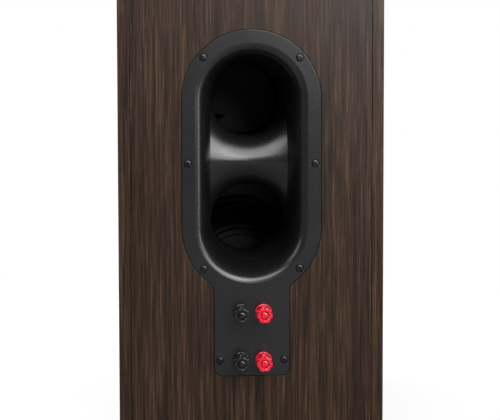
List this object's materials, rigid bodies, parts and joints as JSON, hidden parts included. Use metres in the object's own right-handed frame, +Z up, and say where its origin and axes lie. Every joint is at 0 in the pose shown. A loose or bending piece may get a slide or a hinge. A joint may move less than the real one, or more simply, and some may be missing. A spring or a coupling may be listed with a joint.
{
  "type": "bookshelf speaker",
  "caption": "Two-way bookshelf loudspeaker: wood-wrapped cabinet, twin rear bass-reflex ports in one moulded tray, bi-wire binding posts, cone woofer and dome tweeter in a waveguide.",
  "frame": {"origin": "middle of the footprint, on the surface that the rubber feet stand on", "axes": "+Z up; the drivers face -Y; the binding posts stand out of the back along +Y; the positive posts are on the -X side"},
  "size_m": [0.225, 0.3092, 0.39],
  "materials": {
    "wood_veneer": "dark straight-grained wood-effect wrap, satin",
    "baffle_finish": "black satin paint",
    "fibreboard": "bare fibreboard",
    "rubber": "matt rubber",
    "port_plastic": "black moulded plastic, satin",
    "foam_gasket": "closed-cell foam",
    "black_screw_steel": "black oxide",
    "gilt_brass": "gilt, polished",
    "red_clear_plastic": "tinted clear plastic, red",
    "black_clear_plastic": "tinted clear plastic, near black",
    "circuit_board": "solder mask",
    "copper_winding": "enamelled copper wire",
    "lead_insulation": "wire insulation",
    "basket_metal": "black powder coat",
    "trim_plastic": "black satin plastic",
    "cone_fibre": "pressed fibre",
    "spider_cloth": "resin-stiffened cloth",
    "ferrite": "ground ferrite",
    "zinc_steel": "zinc plate",
    "dome_fabric": "coated woven dome",
    "motor_steel": "black"
  },
  "bodies": {
    "cabinet": {"side_panel_left": "wood_veneer", "side_panel_right": "wood_veneer", "top_panel": "wood_veneer", "bottom_panel": "wood_veneer", "rear_panel": "wood_veneer", "front_baffle": "baffle_finish", "shelf_brace": "fibreboard", "foot_front_left": "rubber", "foot_front_right": "rubber", "foot_rear_left": "rubber", "foot_rear_right": "rubber", "woofer_surround": "rubber", "port_plate": "port_plastic", "port_tube_upper": "port_plastic", "port_tube_lower": "port_plastic", "plate_gasket": "foam_gasket", "plate_screw_1": "black_screw_steel", "plate_screw_2": "black_screw_steel", "plate_screw_3": "black_screw_steel", "plate_screw_4": "black_screw_steel", "plate_screw_5": "black_screw_steel", "plate_screw_6": "black_screw_steel", "plate_screw_7": "black_screw_steel", "plate_screw_8": "black_screw_steel", "low_positive_stud": "gilt_brass", "low_positive_collar": "red_clear_plastic", "low_negative_stud": "gilt_brass", "low_negative_collar": "black_clear_plastic", "high_positive_stud": "gilt_brass", "high_positive_collar": "red_clear_plastic", "high_negative_stud": "gilt_brass", "high_negative_collar": "black_clear_plastic", "crossover_board": "circuit_board", "crossover_choke": "copper_winding", "woofer_lead": "lead_insulation", "tweeter_lead": "lead_insulation", "woofer_basket": "basket_metal", "woofer_trim_ring": "trim_plastic", "tweeter_waveguide": "trim_plastic", "woofer_spider": "spider_cloth", "woofer_magnet": "ferrite", "woofer_top_plate": "zinc_steel", "woofer_yoke": "zinc_steel", "tweeter_motor": "motor_steel"},
    "low_positive_washer": {"low_positive_washer": "gilt_brass"},
    "low_positive_cap": {"low_positive_cap": "red_clear_plastic"},
    "low_positive_plug": {"low_positive_plug": "red_clear_plastic"},
    "low_negative_washer": {"low_negative_washer": "gilt_brass"},
    "low_negative_cap": {"low_negative_cap": "black_clear_plastic"},
    "low_negative_plug": {"low_negative_plug": "black_clear_plastic"},
    "high_positive_washer": {"high_positive_washer": "gilt_brass"},
    "high_positive_cap": {"high_positive_cap": "red_clear_plastic"},
    "high_positive_plug": {"high_positive_plug": "red_clear_plastic"},
    "high_negative_washer": {"high_negative_washer": "gilt_brass"},
    "high_negative_cap": {"high_negative_cap": "black_clear_plastic"},
    "high_negative_plug": {"high_negative_plug": "black_clear_plastic"},
    "woofer_moving": {"woofer_cone": "cone_fibre", "woofer_dust_cap": "cone_fibre", "woofer_voice_coil": "copper_winding"},
    "tweeter_moving": {"tweeter_dome": "dome_fabric"}
  },
  "joints": [
    {"name": "low_positive_washer_slide", "type": "slide", "parent": "cabinet", "child": "low_positive_washer", "axis": [0, 1, 0], "range_m": [0, 0.00525]},
    {"name": "low_positive_cap_turn", "type": "hinge", "parent": "low_positive_washer", "child": "low_positive_cap", "pos_m": [-0.0095, 0.138, 0.06858], "axis": [0, 1, 0], "range_deg": [0, 1891]},
    {"name": "low_positive_plug_pull", "type": "slide", "parent": "cabinet", "child": "low_positive_plug", "axis": [0, 1, 0], "range_m": [0, 0.012]},
    {"name": "low_negative_washer_slide", "type": "slide", "parent": "cabinet", "child": "low_negative_washer", "axis": [0, 1, 0], "range_m": [0, 0.00525]},
    {"name": "low_negative_cap_turn", "type": "hinge", "parent": "low_negative_washer", "child": "low_negative_cap", "pos_m": [0.0095, 0.138, 0.06858], "axis": [0, 1, 0], "range_deg": [0, 1891]},
    {"name": "low_negative_plug_pull", "type": "slide", "parent": "cabinet", "child": "low_negative_plug", "axis": [0, 1, 0], "range_m": [0, 0.012]},
    {"name": "high_positive_washer_slide", "type": "slide", "parent": "cabinet", "child": "high_positive_washer", "axis": [0, 1, 0], "range_m": [0, 0.00525]},
    {"name": "high_positive_cap_turn", "type": "hinge", "parent": "high_positive_washer", "child": "high_positive_cap", "pos_m": [-0.0095, 0.138, 0.10958], "axis": [0, 1, 0], "range_deg": [0, 1891]},
    {"name": "high_positive_plug_pull", "type": "slide", "parent": "cabinet", "child": "high_positive_plug", "axis": [0, 1, 0], "range_m": [0, 0.012]},
    {"name": "high_negative_washer_slide", "type": "slide", "parent": "cabinet", "child": "high_negative_washer", "axis": [0, 1, 0], "range_m": [0, 0.00525]},
    {"name": "high_negative_cap_turn", "type": "hinge", "parent": "high_negative_washer", "child": "high_negative_cap", "pos_m": [0.0095, 0.138, 0.10958], "axis": [0, 1, 0], "range_deg": [0, 1891]},
    {"name": "high_negative_plug_pull", "type": "slide", "parent": "cabinet", "child": "high_negative_plug", "axis": [0, 1, 0], "range_m": [0, 0.012]},
    {"name": "woofer_cone_travel", "type": "slide", "parent": "cabinet", "child": "woofer_moving", "axis": [0, 1, 0], "range_m": [-0.005, 0.005], "stiffness_N_per_m": 1500, "deforming": ["woofer_surround", "woofer_spider"]},
    {"name": "tweeter_dome_travel", "type": "slide", "parent": "cabinet", "child": "tweeter_moving", "axis": [0, 1, 0], "range_m": [-0.0003, 0.0003], "stiffness_N_per_m": 400}
  ],
  "couplings": [
    {"joint": "low_positive_cap_turn", "follows": "low_positive_washer_slide", "rad_per_m": 6283.2},
    {"joint": "low_negative_cap_turn", "follows": "low_negative_washer_slide", "rad_per_m": 6283.2},
    {"joint": "high_positive_cap_turn", "follows": "high_positive_washer_slide", "rad_per_m": 6283.2},
    {"joint": "high_negative_cap_turn", "follows": "high_negative_washer_slide", "rad_per_m": 6283.2}
  ]
}
